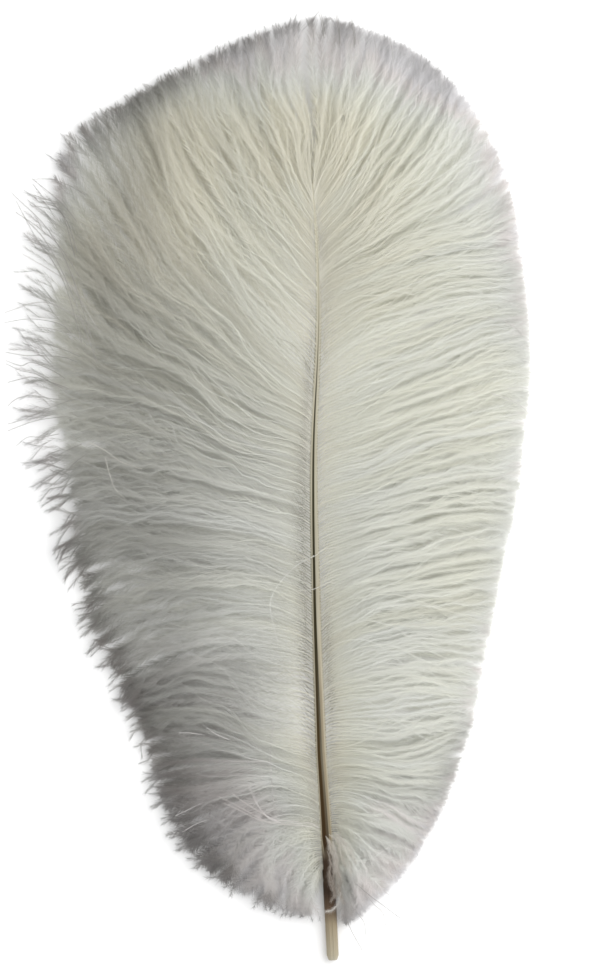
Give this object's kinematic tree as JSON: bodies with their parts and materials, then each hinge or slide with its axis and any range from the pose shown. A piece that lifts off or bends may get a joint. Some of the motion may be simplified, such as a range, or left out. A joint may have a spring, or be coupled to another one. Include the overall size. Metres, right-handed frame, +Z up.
{
  "type": "ostrich feather",
  "caption": "Long white ostrich plume lying flat, with a grooved central shaft, soft curved barbs gathered into locks on both sides and a bare quill end.",
  "frame": {"origin": "under the middle of the plume, on the surface it lies on", "axes": "+Y from the quill's cut end to the tip, +Z up through the grooved face of the shaft, +X to the right as seen from above"},
  "size_m": [0.3128, 0.5687, 0.0307],
  "materials": {
    "barbs": "soft matt fibre with a faint sheen",
    "shaft": "satin horn, dark brown in the groove"
  },
  "bodies": {
    "root": {"feather": "barbs"}
  },
  "joints": []
}
